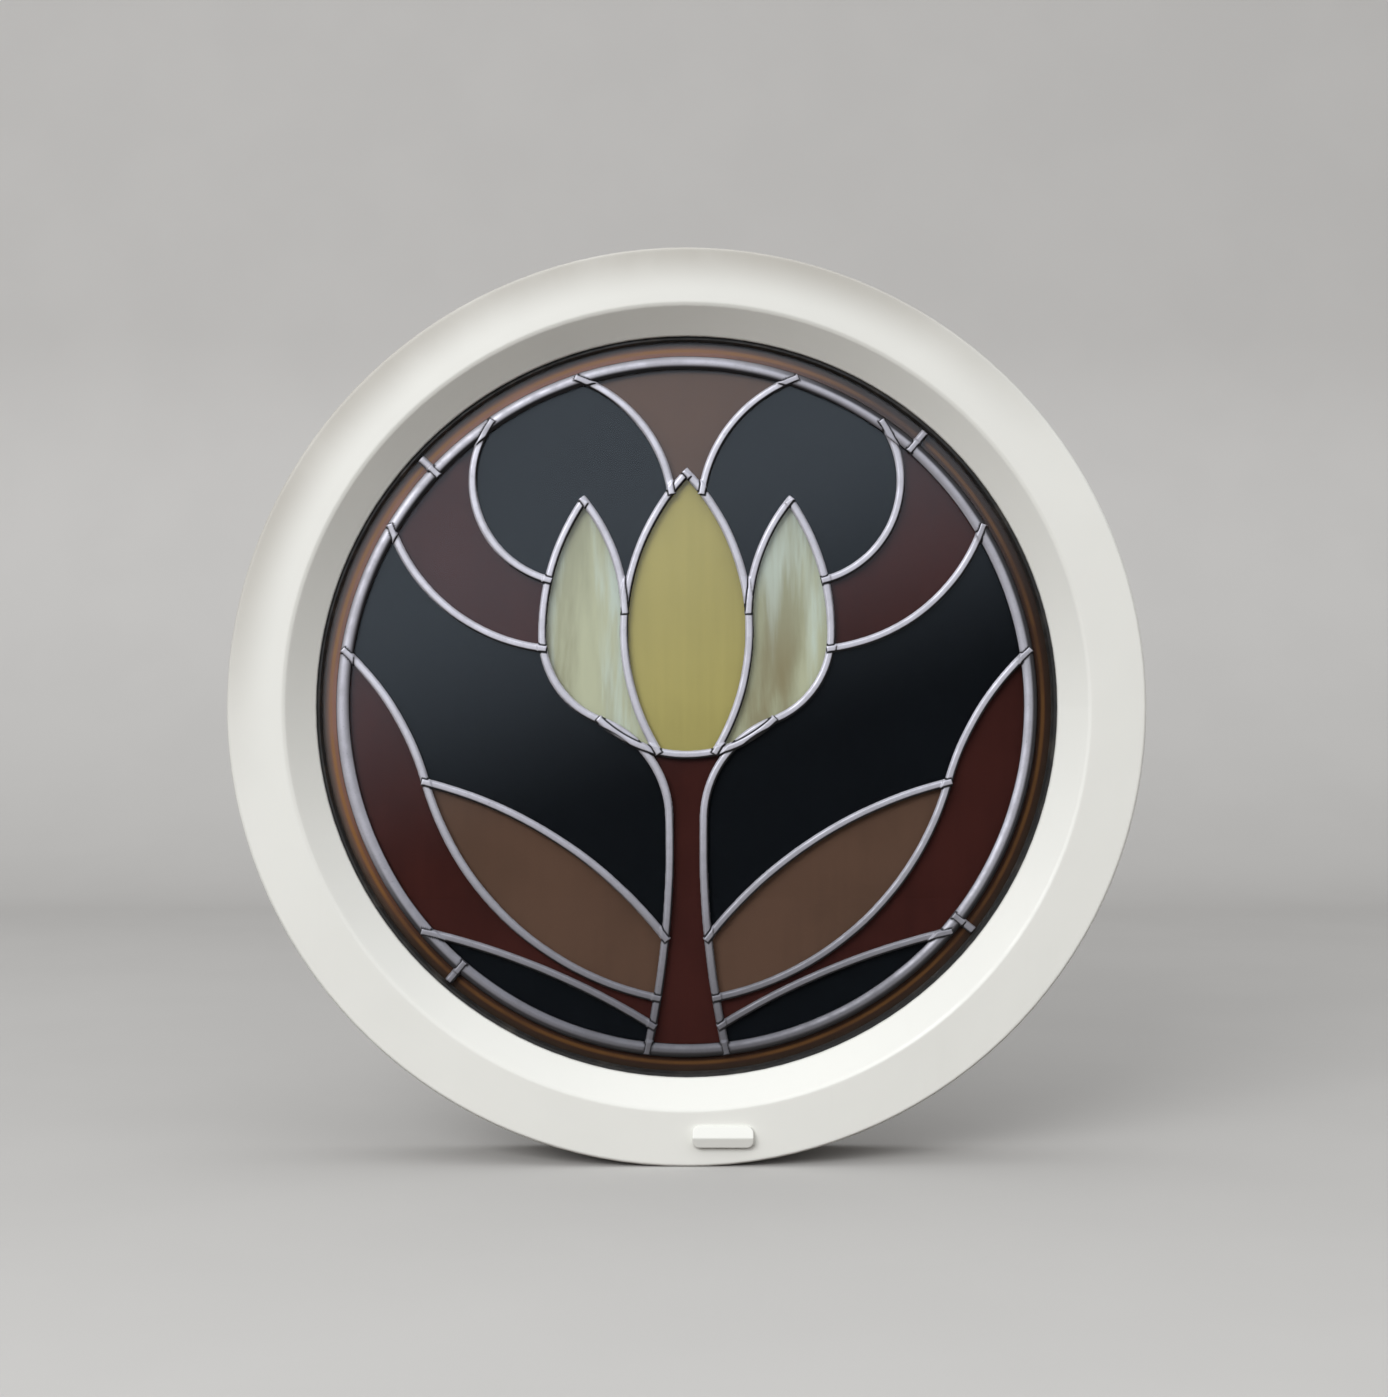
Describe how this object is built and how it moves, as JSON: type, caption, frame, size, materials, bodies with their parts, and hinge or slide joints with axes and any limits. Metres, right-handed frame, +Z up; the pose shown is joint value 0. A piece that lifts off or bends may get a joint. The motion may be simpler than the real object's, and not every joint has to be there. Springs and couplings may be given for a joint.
{
  "type": "round leaded window",
  "caption": "Round fixed window with a white plastic frame, a splayed edge, and a leaded, coloured sealed unit held by beads from the room side.",
  "frame": {"origin": "centre of the round frame, half-way through its depth", "axes": "+X to the right as seen from outdoors, +Y indoors, +Z up"},
  "size_m": [0.6, 0.076, 0.6],
  "materials": {
    "white_pvc": "satin",
    "black_gasket": "matte",
    "clear_glass": "gloss",
    "spacer_foam": "matte",
    "edge_sealant": "matte",
    "packer_plastic": "matte",
    "lead": "matte",
    "smoke_film": "satin",
    "maroon_film": "satin",
    "taupe_film": "satin",
    "cream_film": "satin",
    "yellow_film": "satin",
    "brown_film": "satin"
  },
  "bodies": {
    "root": {"frame": "white_pvc", "glazing_bead_left": "white_pvc", "glazing_bead_right": "white_pvc", "drain_cap": "white_pvc", "outer_gasket": "black_gasket", "bead_gasket": "black_gasket", "outer_pane": "clear_glass", "inner_pane": "clear_glass", "spacer_bar": "spacer_foam", "edge_sealant": "edge_sealant", "glazing_packers": "packer_plastic", "lead_ring": "lead", "lead_outlines": "lead", "lead_calyx_edge": "lead", "lead_left_heart": "lead", "lead_right_heart": "lead", "lead_petal_folds": "lead", "lead_ribbon_lows": "lead", "lead_ribbon_highs": "lead", "lead_leaf_lows": "lead", "lead_leaf_highs": "lead", "lead_hills": "lead", "lead_crowns": "lead", "lead_bars": "lead", "film_side_skies": "smoke_film", "film_upper_skies": "smoke_film", "film_ground": "smoke_film", "film_stem": "maroon_film", "film_ribbons": "maroon_film", "film_hills": "maroon_film", "film_leaves": "taupe_film", "film_crown": "taupe_film", "film_petals": "cream_film", "film_heart": "yellow_film", "film_border": "brown_film"}
  },
  "joints": []
}
